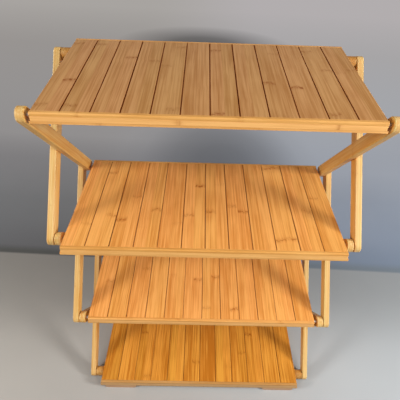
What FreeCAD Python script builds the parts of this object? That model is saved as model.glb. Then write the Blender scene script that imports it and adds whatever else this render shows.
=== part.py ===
import FreeCAD, Part
import math
import os

# A folding storage rack of bamboo: four slatted shelves carried by three stages of
# crossed legs on each side. Millimetres, X across the shelves, Y from the front to the
# back, Z up. The origin lies on the floor, midway between the front and rear pivots.

# Shelves
shelf_width = 600.0
shelf_depth = 330.0
shelf_thickness = 22.0
tier_height = 300.0
pivot_drop = 11.0
hinge_inset = 12.0
hook_inset = 45.0

# How much further below the planks the hook pin lies than the hinge bolt: the hooked
# edge of a shelf stands higher than its hinged edge by a little more than this
hook_lift = 8.0

# Planks of a shelf
plank_count = 12
plank_thickness = 7.0
plank_gap = 1.0
plank_bevel = 0.8
plank_end_gap = 0.3
outer_edge_round = 2.0

# Rails across the shelf, with a lip that covers the plank ends and a sole below
rail_depth = 24.0
rail_lip = 7.0
rail_round = 3.0
rail_inner_bevel = 0.4
sole_thickness = 5.0
sole_overhang = 3.5
sole_setback = 0.7

# Battens under the planks
batten_width = 26.0
middle_batten_width = 30.0
middle_batten_thickness = 10.0

# Legs
leg_width = 29.0
leg_thickness = 15.0
leg_edge_round = 2.0
leg_end_clearance = 3.0
shelf_to_leg_gap = 8.0
leg_to_leg_gap = 1.0

# Bolts on which the legs turn
bolt_radius = 3.5
bolt_thread_radius = 2.5
bolt_thread_length = 13.0
bolt_head_radius = 7.5
bolt_head_height = 2.5
bolt_head_round = 1.2
socket_width = 4.0
socket_depth = 1.5
centre_thread_length = 11.0
insert_radius = 3.5
insert_length = 15.0
washer_radius = 9.0

# Pins that a lifted shelf hooks over
pin_radius = 4.0
pin_reach = 16.0
pin_tip_bevel = 1.0
spacer_radius = 14.0
spacer_bevel = 1.5
spacer_end_gap = 1.0

# Feet; the height is that of a foot below the hinge bolts
foot_length = 94.0
foot_depth = 40.0
foot_height = 7.0
foot_side_inset = 10.0
foot_edge_inset = 2.0
foot_bevel_length = 8.0
foot_bevel_height = 4.0

# Clearances
running_fit = 0.08
fixed_fit = 0.02
open_pivot_fit = 0.3
notch_fit = 0.3
cut_overrun = 1.0
same_place = 1e-6

# The notch leans a little more than the path on which the pin leaves it
notch_lean_share = 1.2

half_width = shelf_width / 2
span = shelf_depth - hinge_inset - hook_inset
shelf_top = pivot_drop
shelf_bottom = pivot_drop - shelf_thickness
plank_seat = shelf_top - plank_thickness
sole_top = shelf_bottom + sole_thickness
hinge_edge = -span / 2 - hinge_inset
grip_edge = span / 2 + hook_inset
first_pivot_height = foot_height - shelf_bottom

# A shelf lies over its hook pins at this angle, hooked edge up, turned about its hinge
shelf_tilt = math.asin(hook_lift / span)
hinge_y = -span / 2
hook_y = hinge_y + span * math.cos(shelf_tilt)

inner_leg_in = half_width + shelf_to_leg_gap
inner_leg_out = inner_leg_in + leg_thickness
outer_leg_in = inner_leg_out + leg_to_leg_gap
outer_leg_out = outer_leg_in + leg_thickness
leg_radius = leg_width / 2

# The fold: the legs close until their round ends nearly meet, and by then each shelf
# stands along the legs that it is hinged to
leg_length = math.hypot(span, tier_height)
folded_span = leg_width + leg_end_clearance
leg_angle = math.atan2(span, tier_height)
folded_leg_angle = math.asin(folded_span / leg_length)
leg_turn = leg_angle - folded_leg_angle
shelf_turn = math.radians(90) - folded_leg_angle - shelf_tilt
shelf_per_leg_turn = shelf_turn / leg_turn

SIDES = {"left": -1, "right": 1}
SHELVES = ["bottom", "lower", "upper", "top"]
STAGES = ["lower", "middle", "upper"]


def box(x0, x1, y0, y1, z0, z1):
    """Block between two corners."""
    corner = FreeCAD.Vector(min(x0, x1), min(y0, y1), min(z0, z1))
    return Part.makeBox(abs(x1 - x0), abs(y1 - y0), abs(z1 - z0), corner)


def rod(x0, x1, y, z, radius):
    """Cylinder along X."""
    start = FreeCAD.Vector(min(x0, x1), y, z)
    return Part.makeCylinder(radius, abs(x1 - x0), start, FreeCAD.Vector(1, 0, 0))


def along_x(outline, x0, x1):
    """Solid with the given Y, Z outline between two places on X."""
    corners = [FreeCAD.Vector(x0, y, z) for y, z in outline]
    face = Part.Face(Part.makePolygon(corners + corners[:1]))
    return face.extrude(FreeCAD.Vector(x1 - x0, 0, 0))


def edge_ends(edge):
    """The two ends of an edge, or None for a closed one."""
    if len(edge.Vertexes) < 2:
        return None
    return edge.Vertexes[0].Point, edge.Vertexes[1].Point


def edges_at(shape, **place):
    """Edges whose two ends both lie at the named coordinates."""
    found = []
    for edge in shape.Edges:
        ends = edge_ends(edge)
        if ends is None:
            continue
        misses = [abs(getattr(end, axis) - value) for end in ends for axis, value in place.items()]
        if max(misses) < same_place:
            found.append(edge)
    return found


def rim_at(shape, face_x):
    """The round edge of a rod at one of its end faces."""
    found = []
    for edge in shape.Edges:
        bounds = edge.BoundBox
        off_face = max(abs(bounds.XMin - face_x), abs(bounds.XMax - face_x))
        if bounds.YLength > 0 and off_face < same_place:
            found.append(edge)
    return found


def mirrored_pair(shape):
    """A piece on the right side and its mirror image on the left."""
    other = shape.mirror(FreeCAD.Vector(0, 0, 0), FreeCAD.Vector(1, 0, 0))
    return [other, shape]


def save(node, solids):
    """Write one node."""
    shape = solids[0] if len(solids) == 1 else Part.makeCompound(solids)
    shape.exportStep(os.path.join("parts", node + ".step"))


# Planks

def plank(index):
    """One plank, front to back, bevelled beside the grooves and rounded at the shelf's ends."""
    pitch = shelf_width / plank_count
    left = -half_width + index * pitch
    right = left + pitch
    first = index == 0
    last = index == plank_count - 1
    if not first:
        left += plank_gap / 2
    if not last:
        right -= plank_gap / 2
    near = hinge_edge + rail_lip + plank_end_gap
    far = grip_edge - rail_lip - plank_end_gap
    board = box(left, right, near, far, plank_seat, shelf_top)
    for place, outside in ((left, first), (right, last)):
        upper = edges_at(board, x=place, z=shelf_top)
        if outside:
            board = board.makeFillet(outer_edge_round, upper)
        else:
            board = board.makeChamfer(plank_bevel, upper)
    return board


def planks():
    return [plank(index) for index in range(plank_count)]


# Rails

def rail(edge, inward):
    """Rail under the plank ends at one edge of the shelf, its lip flush with the planks."""
    back = edge + inward * rail_depth
    lip = edge + inward * rail_lip
    outline = [
        (edge, sole_top),
        (back, sole_top),
        (back, plank_seat),
        (lip, plank_seat),
        (lip, shelf_top),
        (edge, shelf_top),
    ]
    upper = along_x(outline, -half_width, half_width)
    rounded = edges_at(upper, y=edge, z=shelf_top)
    rounded += edges_at(upper, y=edge, x=-half_width)
    rounded += edges_at(upper, y=edge, x=half_width)
    upper = upper.makeFillet(rail_round, rounded)
    upper = upper.makeChamfer(rail_inner_bevel, edges_at(upper, y=lip, z=shelf_top))
    reach = half_width + sole_overhang
    sole_front = edge + inward * sole_setback
    sole = box(-reach, reach, sole_front, back, shelf_bottom, sole_top)
    return upper.fuse(sole).removeSplitter()


def hinge_rail():
    """The rail at the hinged edge, bored at both ends for the threaded inserts."""
    shape = rail(hinge_edge, 1)
    for side in SIDES.values():
        inner = side * (half_width - insert_length)
        outer = side * (half_width + cut_overrun)
        shape = shape.cut(rod(inner, outer, hinge_y, 0, insert_radius + fixed_fit))
    return [shape]


def grip_rail():
    """The rail at the edge that is lifted."""
    return [rail(grip_edge, -1)]


# Battens

def notch_cut(x0, x1):
    """Space of the open notch: round over the pin, then leaning along the pin's way out."""
    radius = pin_radius + notch_fit
    lean = shelf_tilt + math.atan(notch_lean_share * tier_height / (shelf_per_leg_turn * span))
    low = shelf_bottom - cut_overrun
    touch_y = hook_y - radius * math.cos(lean)
    touch_z = radius * math.sin(lean) - hook_lift
    outline = [
        (hook_y + radius, -hook_lift),
        (hook_y + radius, low),
        (touch_y - (touch_z - low) * math.tan(lean), low),
        (touch_y, touch_z),
    ]
    return rod(x0, x1, hook_y, -hook_lift, radius).fuse(along_x(outline, x0, x1))


def end_batten(side):
    """Batten under the planks at one end of the shelf, notched for the hook pin."""
    outer = side * half_width
    inner = side * (half_width - batten_width)
    near = hinge_edge + rail_depth
    far = grip_edge - rail_depth
    shape = box(inner, outer, near, far, shelf_bottom, plank_seat)
    left = min(inner, outer) - cut_overrun
    right = max(inner, outer) + cut_overrun
    return [shape.cut(notch_cut(left, right))]


def middle_batten():
    """Batten across the middle of the shelf, between the end battens."""
    reach = half_width - batten_width
    middle = (hinge_edge + grip_edge) / 2
    near = middle - middle_batten_width / 2
    far = middle + middle_batten_width / 2
    return [box(-reach, reach, near, far, plank_seat - middle_batten_thickness, plank_seat)]


# Bolts, inserts, washers and pins, each made on the right side

def bolt_head(seat, y, z):
    """Low domed head with a hexagon socket, standing out from its seat."""
    face = seat + bolt_head_height
    head = rod(seat, face, y, z, bolt_head_radius)
    head = head.makeFillet(bolt_head_round, rim_at(head, face))
    reach = socket_width / math.sqrt(3)
    corners = []
    for step in range(6):
        angle = math.radians(60 * step)
        corners.append((y + reach * math.cos(angle), z + reach * math.sin(angle)))
    return head.cut(along_x(corners, face - socket_depth, face + cut_overrun))


def bolt(seat, thread_start, thread_length, y, z):
    """Shoulder bolt: head, plain shoulder through the legs, and threaded end."""
    head = bolt_head(seat, y, z)
    shoulder = rod(thread_start, seat, y, z, bolt_radius)
    thread = rod(thread_start - thread_length, thread_start, y, z, bolt_thread_radius)
    return head.fuse([shoulder, thread]).removeSplitter()


def hinge_bolts(seat):
    return mirrored_pair(bolt(seat, half_width, bolt_thread_length, hinge_y, 0))


def inserts():
    """Threaded sleeves in the ends of the hinge rail."""
    inner = half_width - insert_length
    sleeve = rod(inner, half_width, hinge_y, 0, insert_radius)
    bore = rod(inner, half_width, hinge_y, 0, bolt_thread_radius + fixed_fit)
    return mirrored_pair(sleeve.cut(bore))


def washer(y, z, bore_radius):
    """Thin ring between an inner and an outer leg."""
    ring = rod(inner_leg_out, outer_leg_in, y, z, washer_radius)
    return ring.cut(rod(inner_leg_out, outer_leg_in, y, z, bore_radius))


def hook_pin(y, z):
    """Pin fixed in an outer leg that reaches under the shelf."""
    tip = half_width - pin_reach
    shaft = rod(tip, outer_leg_out, y, z, pin_radius)
    shaft = shaft.makeChamfer(pin_tip_bevel, rim_at(shaft, tip))
    return shaft.fuse(bolt_head(outer_leg_out, y, z)).removeSplitter()


def spacer(y, z):
    """Round block that takes the inner leg's place where there is none."""
    near = half_width + spacer_end_gap
    block = rod(near, inner_leg_out, y, z, spacer_radius)
    block = block.makeChamfer(spacer_bevel, rim_at(block, near))
    return block.cut(rod(near, inner_leg_out, y, z, pin_radius + fixed_fit))


# Legs

def leg(x0, start, end, bores):
    """Flat bar with round ends from one pivot to another, with (y, z, radius, depth) bores.

    A bore's depth is counted from the face away from the shelves.
    """
    run = math.hypot(end[0] - start[0], end[1] - start[1])
    across = (-(end[1] - start[1]) / run * leg_radius, (end[0] - start[0]) / run * leg_radius)
    beyond = ((end[0] - start[0]) / run * leg_radius, (end[1] - start[1]) / run * leg_radius)

    def point(base, *shifts):
        y = base[0] + sum(shift[0] for shift in shifts)
        z = base[1] + sum(shift[1] for shift in shifts)
        return FreeCAD.Vector(x0, y, z)

    back = (-across[0], -across[1])
    behind = (-beyond[0], -beyond[1])
    wire = Part.Wire([
        Part.LineSegment(point(start, across), point(end, across)).toShape(),
        Part.Arc(point(end, across), point(end, beyond), point(end, back)).toShape(),
        Part.LineSegment(point(end, back), point(start, back)).toShape(),
        Part.Arc(point(start, back), point(start, behind), point(start, across)).toShape(),
    ])
    bar = Part.Face(wire).extrude(FreeCAD.Vector(leg_thickness, 0, 0))
    rims = [edge for edge in bar.Edges if edge.BoundBox.XLength < leg_thickness / 2]
    bar = bar.makeFillet(leg_edge_round, rims)
    outer = x0 + leg_thickness
    for y, z, radius, depth in bores:
        bar = bar.cut(rod(outer - depth, outer + cut_overrun, y, z, radius))
    return bar


def stage_places(stage):
    """Front-top, rear-bottom, rear-top, front-bottom and middle of a stage, as (y, z)."""
    low = first_pivot_height + stage * tier_height
    high = low + tier_height
    front = -span / 2
    rear = span / 2
    return (front, high), (rear, low), (rear, high), (front, low), (0, (low + high) / 2)


def inner_leg(stage):
    """Leg from the front top to the rear bottom, beside the shelves."""
    front_top, rear_bottom, rear_top, front_bottom, middle = stage_places(stage)
    through = leg_thickness + cut_overrun
    end_radius = pin_radius + open_pivot_fit if stage == 1 else bolt_radius + running_fit
    return leg(inner_leg_in, rear_bottom, front_top, [
        (*front_top, end_radius, through),
        (*rear_bottom, end_radius, through),
        (*middle, bolt_thread_radius + fixed_fit, centre_thread_length),
    ])


def outer_leg(stage):
    """Leg from the rear top to the front bottom, outside the inner leg."""
    front_top, rear_bottom, rear_top, front_bottom, middle = stage_places(stage)
    through = leg_thickness + cut_overrun
    turning = bolt_radius + running_fit
    end_radius = turning if stage == 1 else pin_radius + fixed_fit
    return leg(outer_leg_in, front_bottom, rear_top, [
        (*rear_top, end_radius, through),
        (*front_bottom, end_radius, through),
        (*middle, turning, through),
    ])


# Feet

def tilted(solid):
    """Turn a shelf piece about the hinge to where it lies on the hook pins."""
    solid = solid.copy()
    hinge = FreeCAD.Vector(0, hinge_y, 0)
    solid.rotate(hinge, FreeCAD.Vector(1, 0, 0), math.degrees(shelf_tilt))
    return solid


def foot(inner_x, y0):
    """Block with a level sole, bevelled at its ends, cut to the slope of the shelf above."""
    outer_x = inner_x + foot_length
    low = -first_pivot_height
    rise = low + foot_bevel_height
    outline = [
        (inner_x, shelf_top),
        (inner_x, rise),
        (inner_x + foot_bevel_length, low),
        (outer_x - foot_bevel_length, low),
        (outer_x, rise),
        (outer_x, shelf_top),
    ]
    corners = [FreeCAD.Vector(x, y0, z) for x, z in outline]
    face = Part.Face(Part.makePolygon(corners + corners[:1]))
    block = face.extrude(FreeCAD.Vector(0, foot_depth, 0))
    reach = cut_overrun + shelf_thickness
    near = hinge_edge - reach
    far = grip_edge + reach
    shelf = box(inner_x - reach, outer_x + reach, near, far, shelf_bottom, shelf_top + reach)
    return block.cut(tilted(shelf))


def feet():
    """Four feet: a pair at the hinged edge and a pair at the other."""
    inner_x = half_width - foot_side_inset - foot_length
    near = hinge_edge + foot_edge_inset
    far = grip_edge - foot_edge_inset - foot_depth
    return mirrored_pair(foot(inner_x, near)) + mirrored_pair(foot(inner_x, far))


# Assembly

def placed(solids, hinge_at_rear, height):
    """Move pieces from the hinge-in-front layout to their tier."""
    result = []
    for solid in solids:
        if hinge_at_rear:
            solid = solid.mirror(FreeCAD.Vector(0, 0, 0), FreeCAD.Vector(0, 1, 0))
        solid = solid.copy()
        solid.translate(FreeCAD.Vector(0, 0, height))
        result.append(solid)
    return result


def write_shelf(tier):
    """All pieces of one shelf; the hinge is at the rear on every second shelf."""
    name = SHELVES[tier] + "_shelf_"
    hinge_at_rear = tier % 2 == 0
    height = first_pivot_height + tier * tier_height
    both_legs = 0 < tier < len(SHELVES) - 1
    seat = outer_leg_out if both_legs else inner_leg_out
    pieces = {
        "planks": planks(),
        "hinge_rail": hinge_rail(),
        "grip_rail": grip_rail(),
        "left_batten": end_batten(SIDES["left"]),
        "right_batten": end_batten(SIDES["right"]),
        "middle_batten": middle_batten(),
        "inserts": inserts(),
        "hinge_bolts": hinge_bolts(seat),
    }
    if both_legs:
        pieces["washers"] = mirrored_pair(washer(hinge_y, 0, bolt_radius + running_fit))
    for piece, solids in pieces.items():
        lying = [tilted(solid) for solid in solids]
        save(name + piece, placed(lying, hinge_at_rear, height))
    if tier == 0:
        save(name + "feet", placed(feet(), hinge_at_rear, height))


def write_stage(stage):
    """Both pairs of crossed legs of one stage, with their bolts and pins."""
    name = STAGES[stage] + "_"
    front_top, rear_bottom, rear_top, front_bottom, middle = stage_places(stage)
    for layer, solid in (("inner", inner_leg(stage)), ("outer", outer_leg(stage))):
        left, right = mirrored_pair(solid)
        save(name + layer + "_left_leg", [left])
        save(name + layer + "_right_leg", [right])
    centre = bolt(outer_leg_out, inner_leg_out, centre_thread_length, *middle)
    save(name + "centre_bolts", mirrored_pair(centre))
    ring = washer(*middle, bolt_radius + running_fit)
    save(name + "centre_washers", mirrored_pair(ring))
    if stage == 1:
        return
    pins = []
    rings = []
    for place in (rear_top, front_bottom):
        pins += mirrored_pair(hook_pin(*place))
        rings += mirrored_pair(washer(*place, pin_radius + fixed_fit))
    save(name + "hook_pins", pins)
    save(name + "hook_pin_washers", rings)
    lone_end = front_bottom if stage == 0 else rear_top
    save(name + "spacers", mirrored_pair(spacer(*lone_end)))


os.makedirs("parts", exist_ok=True)
for tier_number in range(len(SHELVES)):
    write_shelf(tier_number)
for stage_number in range(len(STAGES)):
    write_stage(stage_number)

print("leg turn", math.degrees(leg_turn), "folded leg angle", math.degrees(folded_leg_angle))
print("shelf turn", math.degrees(shelf_turn), "tilt", math.degrees(shelf_tilt))
print("first pivot height", first_pivot_height, "span", span)
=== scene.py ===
import math
import random

import bmesh
import bpy
from mathutils import Matrix, Vector


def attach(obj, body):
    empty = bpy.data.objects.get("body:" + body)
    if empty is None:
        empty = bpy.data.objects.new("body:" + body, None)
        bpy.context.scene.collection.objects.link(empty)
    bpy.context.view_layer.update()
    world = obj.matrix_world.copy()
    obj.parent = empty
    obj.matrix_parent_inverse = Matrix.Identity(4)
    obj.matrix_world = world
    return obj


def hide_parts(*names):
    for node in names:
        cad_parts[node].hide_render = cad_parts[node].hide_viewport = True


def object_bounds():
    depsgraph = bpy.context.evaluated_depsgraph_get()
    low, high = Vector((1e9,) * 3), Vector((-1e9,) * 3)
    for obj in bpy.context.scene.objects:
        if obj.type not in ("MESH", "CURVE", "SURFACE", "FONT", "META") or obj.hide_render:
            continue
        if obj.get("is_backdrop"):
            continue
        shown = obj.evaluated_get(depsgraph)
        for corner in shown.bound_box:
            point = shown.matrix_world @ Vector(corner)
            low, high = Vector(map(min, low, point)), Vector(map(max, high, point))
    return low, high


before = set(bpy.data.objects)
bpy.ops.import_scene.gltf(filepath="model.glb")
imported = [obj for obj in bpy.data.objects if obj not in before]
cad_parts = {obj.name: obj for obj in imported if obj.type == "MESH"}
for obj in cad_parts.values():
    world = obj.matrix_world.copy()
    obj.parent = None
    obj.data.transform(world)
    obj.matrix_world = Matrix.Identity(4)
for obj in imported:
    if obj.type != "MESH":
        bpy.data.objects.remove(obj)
cad_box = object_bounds()


# -------- Camera
# The photograph looks down on the rack from in front with a short lens. The camera
# was held a little out of level, and its axis lies slightly right of the middle.

camera_place = Vector((-0.0150, -0.7326, 1.2503))
camera_pitch = math.radians(40.617)
camera_yaw = math.radians(1.243)
camera_roll = math.radians(-2.252)
sensor_width = 36
focal_length_px = 395.5
axis_offset_px = 5.63
picture_px = 400

looking = Vector((
    math.sin(camera_yaw) * math.cos(camera_pitch),
    math.cos(camera_yaw) * math.cos(camera_pitch),
    -math.sin(camera_pitch),
))
level_right = Vector((math.cos(camera_yaw), -math.sin(camera_yaw), 0))
level_down = looking.cross(level_right)
picture_right = level_right * math.cos(camera_roll) + level_down * math.sin(camera_roll)
picture_down = level_down * math.cos(camera_roll) - level_right * math.sin(camera_roll)

bpy.ops.object.camera_add()
camera = bpy.context.object
camera.name = "camera"
camera.data.sensor_width = sensor_width
camera.data.lens = sensor_width * focal_length_px / picture_px
camera.data.shift_x = -axis_offset_px / picture_px
camera.matrix_world = Matrix.LocRotScale(
    camera_place,
    Matrix((picture_right, -picture_down, -looking)).transposed().to_quaternion(),
    None,
)
bpy.context.scene.camera = camera
bpy.context.scene.view_settings.view_transform = "Standard"


# -------- Floor and light
# A plain pale studio floor, warmer at the left and cooler at the right. Behind the rack
# it turns into a grey backdrop, with painted shade darkest at the turn and painted shadows
# behind the shelves; the floor is painted darker just before the turn. Soft lamps stand at
# both sides, the right one stronger, with weaker ones high, in front and behind. Far out
# the floor glows with the backdrop's brightness.

floor_reach = 9.0
floor_warm = (0.389, 0.362, 0.324, 1)
floor_cool = (0.408, 0.428, 0.438, 1)
floor_sides = (-0.7, 0.7)
floor_roughness = 0.7
# Faint clouds in the floor: scale, detail, range of the noise, darkest and lightest share
clouds = (3.0, 4.0)
cloud_tones = (0.3, 0.7, 0.97, 1.03)
# The turn: place behind the middle, slope to the side, half width, and the floor's shade
# before it as two places and the share of light at each
turn_place = 0.331
turn_slope = 0.039
turn_width = 0.006
turn_shade = (-0.50, 0.02, 1.0, 0.70)
# Share of the way from the turn to the far end, and the backdrop's colour there, painted
# as shade: darkest at the turn, lighter further back
backdrop_depth = 4.0
backdrop_left = (
    (0.004, (0.050, 0.050, 0.046)), (0.012, (0.088, 0.088, 0.092)),
    (0.050, (0.106, 0.107, 0.110)), (0.088, (0.120, 0.121, 0.124)),
    (0.170, (0.198, 0.192, 0.196)), (0.230, (0.285, 0.273, 0.272)),
    (0.350, (0.300, 0.288, 0.285)), (0.600, (0.314, 0.296, 0.285)),
    (0.900, (0.390, 0.370, 0.352)),
)
backdrop_right = (
    (0.004, (0.128, 0.155, 0.184)), (0.012, (0.152, 0.190, 0.252)),
    (0.050, (0.200, 0.236, 0.300)), (0.110, (0.242, 0.273, 0.330)),
    (0.170, (0.322, 0.344, 0.392)), (0.350, (0.370, 0.378, 0.400)),
    (0.600, (0.386, 0.376, 0.382)), (0.900, (0.445, 0.420, 0.425)),
)
backdrop_gain = (1.60, 1.25)
# Where the backdrop, the floor and the sides fade to plain brightness, and how the sides
# open out behind the turn
backdrop_fades = (0.3, 0.9)
floor_fades = (0.8, 2.1)
side_fades = (0.9, 1.9)
side_opening = -0.35
# Soft shadows behind the two upper shelves: middle and half size to the side and past
# the turn, and how much light is left from the middle outwards, up to the reach
shadow_reach = 1.5
shadows = (
    ((0.10, 0.44), (0.70, 0.60),
     ((0.0, 0.47), (0.30, 0.51), (0.60, 0.64), (1.0, 0.93), (1.25, 1.0))),
    ((0.0, 0.90), (2.50, 0.60),
     ((0.0, 0.30), (0.35, 0.42), (0.50, 0.60), (0.90, 1.0))),
)
backdrop = (0.40, 0.385, 0.38, 1)
fill = (1.0, 0.97, 0.94, 1)
fill_strength = 0.08
# Name, place, size in metres and power in watts
lamps = (
    ("side_left", (-1.8, -0.8, 1.3), 0.6, 28.5),
    ("side_right", (1.8, -0.8, 1.3), 0.6, 43.5),
    ("high_left", (-1.3, -0.6, 2.4), 0.8, 6.0),
    ("high_right", (1.3, -0.6, 2.4), 0.8, 9.0),
    ("front_left", (-1.0, -1.4, 1.9), 0.5, 5.0),
    ("front_right", (1.0, -1.4, 1.9), 0.5, 3.0),
    ("back_left", (-1.7, 1.2, 0.7), 0.6, 3.5),
    ("back_right", (1.7, 1.2, 0.7), 0.6, 3.5),
)
lamp_aim = Vector((0, 0, 0.45))


def put(tree, kind, *inputs, named=None, **settings):
    """Adds a node and gives back its first output. A socket is linked, a value is set."""
    made = tree.nodes.new(kind)
    for name, value in settings.items():
        setattr(made, name, value)
    for place, value in [*enumerate(inputs), *(named or {}).items()]:
        if isinstance(value, bpy.types.NodeSocket):
            tree.links.new(value, made.inputs[place])
        elif value is not None:
            made.inputs[place].default_value = value
    return made.outputs[0] if len(made.outputs) else None


def sums(tree, operation, *inputs):
    """One step of arithmetic."""
    return put(tree, "ShaderNodeMath", *inputs, operation=operation)


def mixed(tree, factor, one, other, blend="MIX"):
    """Two colours blended by a factor."""
    colours = {6: one, 7: other}
    node = put(tree, "ShaderNodeMix", factor, named=colours, data_type="RGBA", blend_type=blend)
    return node.node.outputs[2]


def mottle(tree, place, scale, detail=2.0, roughness=0.5):
    """Soft noise between 0 and 1."""
    return put(tree, "ShaderNodeTexNoise", place, None, scale, detail, roughness)


def ramped(tree, value, low, high, start=0.0, end=1.0, smooth=False):
    """A value brought from one range to another and kept within it."""
    way = "SMOOTHSTEP" if smooth else "LINEAR"
    ends = (value, low, high, start, end)
    return put(tree, "ShaderNodeMapRange", *ends, interpolation_type=way)


def stops(tree, value, spots):
    """A colour ramp through the given places and colours."""
    ramp = tree.nodes.new("ShaderNodeValToRGB")
    tree.links.new(value, ramp.inputs[0])
    points = ramp.color_ramp.elements
    while len(points) < len(spots):
        points.new(0.5)
    for point, (spot, colour) in zip(points, spots):
        point.position = spot
        point.color = (*colour, 1)
    return ramp.outputs[0]


def new_material(name):
    """An empty material, and its Principled BSDF joined to the output."""
    made = bpy.data.materials.new(name)
    made.use_nodes = True
    made.node_tree.nodes.clear()
    shader = made.node_tree.nodes.new("ShaderNodeBsdfPrincipled")
    put(made.node_tree, "ShaderNodeOutputMaterial", shader.outputs[0])
    return made, made.node_tree, shader


def seen_rays(tree):
    """1 for the rays that show the backdrop: to the camera, in gloss and through glass."""
    ray = put(tree, "ShaderNodeLightPath").node.outputs
    seen = sums(tree, "MAXIMUM", ray["Is Camera Ray"], ray["Is Glossy Ray"])
    return sums(tree, "MAXIMUM", seen, ray["Is Transmission Ray"])


bpy.ops.mesh.primitive_plane_add(size=2 * floor_reach)
floor = bpy.context.object
floor.name = "floor"
floor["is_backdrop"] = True
floor_finish, tree, shader = new_material("pale_floor")
place = put(tree, "ShaderNodeTexCoord").node.outputs["Object"]
sideways, depth = put(tree, "ShaderNodeSeparateXYZ", place).node.outputs[:2]
right_share = ramped(tree, sideways, *floor_sides, smooth=True)
from_turn = sums(tree, "SUBTRACT", depth, turn_place)
past_turn = sums(tree, "MULTIPLY_ADD", sideways, turn_slope, from_turn)
turned = ramped(tree, past_turn, -turn_width, turn_width, smooth=True)
pale = mixed(tree, right_share, floor_warm, floor_cool)
shade = ramped(tree, past_turn, *turn_shade, smooth=True)
pale = mixed(tree, 1.0, pale, shade, "MULTIPLY")
far_share = sums(tree, "DIVIDE", past_turn, backdrop_depth)
grey_left = stops(tree, far_share, backdrop_left)
grey_right = stops(tree, far_share, backdrop_right)
grey = mixed(tree, right_share, grey_left, grey_right)
for (across, half_across), (along, half_along), light_left in shadows:
    aside = sums(tree, "DIVIDE", sums(tree, "SUBTRACT", sideways, across), half_across)
    beyond = sums(tree, "DIVIDE", sums(tree, "SUBTRACT", past_turn, along), half_along)
    squared = sums(tree, "MULTIPLY_ADD", aside, aside, sums(tree, "MULTIPLY", beyond, beyond))
    away = sums(tree, "DIVIDE", sums(tree, "SQRT", squared), shadow_reach)
    spots = [(far / shadow_reach, (share,) * 3) for far, share in light_left]
    grey = mixed(tree, 1.0, grey, stops(tree, away, spots), "MULTIPLY")
gain = ramped(tree, right_share, 0.0, 1.0, *backdrop_gain)
tone = mixed(tree, turned, pale, mixed(tree, 1.0, grey, gain, "MULTIPLY"))
cloud = ramped(tree, mottle(tree, place, *clouds), *cloud_tones)
clouded = mixed(tree, 1.0, tone, cloud, "MULTIPLY")
tree.links.new(clouded, shader.inputs["Base Color"])
shader.inputs["Roughness"].default_value = floor_roughness

# Far out the surface glows with its own brightness for the rays that see it: past the turn
# the grey with its painted shade, elsewhere plain
from_middle = put(tree, "ShaderNodeVectorMath", place, operation="LENGTH").node.outputs["Value"]
beside = sums(tree, "MULTIPLY_ADD", past_turn, side_opening, sums(tree, "ABSOLUTE", sideways))
far_aside = ramped(tree, beside, *side_fades, smooth=True)
plain = sums(tree, "MAXIMUM", far_aside, sums(tree, "SUBTRACT", 1.0, turned))
far_grey = mixed(tree, plain, grey, backdrop)
faded = ramped(tree, from_middle, *floor_fades, smooth=True)
faded = sums(tree, "MULTIPLY", faded, plain)
far_back = ramped(tree, past_turn, *backdrop_fades, smooth=True)
faded = sums(tree, "MAXIMUM", faded, far_back)
faded = sums(tree, "MULTIPLY", seen_rays(tree), faded)
glow = put(tree, "ShaderNodeEmission", far_grey, 1.0)
surface = put(tree, "ShaderNodeMixShader", faded, shader.outputs[0], glow)
tree.links.new(surface, tree.nodes["Material Output"].inputs[0])
floor.data.materials.append(floor_finish)

world = bpy.data.worlds.new("studio")
bpy.context.scene.world = world
world.use_nodes = True
world.node_tree.nodes.clear()
tree = world.node_tree
lighting = put(tree, "ShaderNodeBackground", fill, fill_strength)
showing = put(tree, "ShaderNodeBackground", backdrop, 1.0)
both = put(tree, "ShaderNodeMixShader", seen_rays(tree), lighting, showing)
put(tree, "ShaderNodeOutputWorld", both)


def add_lamp(name, place, size, power):
    """A round soft lamp that points at the middle of the rack."""
    bpy.ops.object.light_add(type="AREA", location=place)
    lamp = bpy.context.object
    lamp.name = name
    lamp.data.shape = "DISK"
    lamp.data.size = size
    lamp.data.energy = power
    lamp.rotation_euler = (lamp_aim - Vector(place)).to_track_quat("-Z", "Y").to_euler()


for name, place, size, power in lamps:
    add_lamp("lamp_" + name, place, size, power)


# -------- Planks
# Twelve bamboo planks to a shelf, each glued up from two strips, planed to 7 mm and
# bevelled beside the grooves, which a tongue closes. They run from front to back between
# the lips of the rails. The grooves' sides, bevels and tongues are painted dark brown as
# shade, darkest on the top shelf. Each shelf's wood has its own colour, which also paints
# shade: darker and browner on the top shelf, darker and more orange on the bottom one.

shelf_width = 0.600
shelf_depth = 0.330
hinge_inset = 0.012
plank_count = 12
plank_pitch = 0.050
plank_gap = 0.0010
plank_bevel = 0.0008
plank_end_ease = 0.0003
outer_round = 0.0020
shelf_top = 0.011
plank_seat = 0.004
plank_near = -0.0047
plank_far = 0.3107
groove_play = 0.00018

# From hinge to hook pin, and how much higher the pin is
pivot_span = 0.273
hook_lift = 0.008
hinge_reach = pivot_span / 2
first_pivot = 0.018
tier_height = 0.300
shelf_tilt = math.asin(hook_lift / pivot_span)
tiers = ("bottom", "lower", "upper", "top")
hinge_side = {"bottom": 1, "lower": -1, "upper": 1, "top": -1}

# How near two places count as one, how near two points merge, and which leanings of a
# face towards the wide faces make it an eased edge
same_place = 1e-5
merge_reach = 5e-6
eased_leaning = (0.1, 0.95)

# Dark brown of the painted shade in the grooves, and of the stain and painted shade on the rails'
# glue joints
groove_shade_and_stain_brown = (0.210, 0.040, 0.0, 1)
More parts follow.
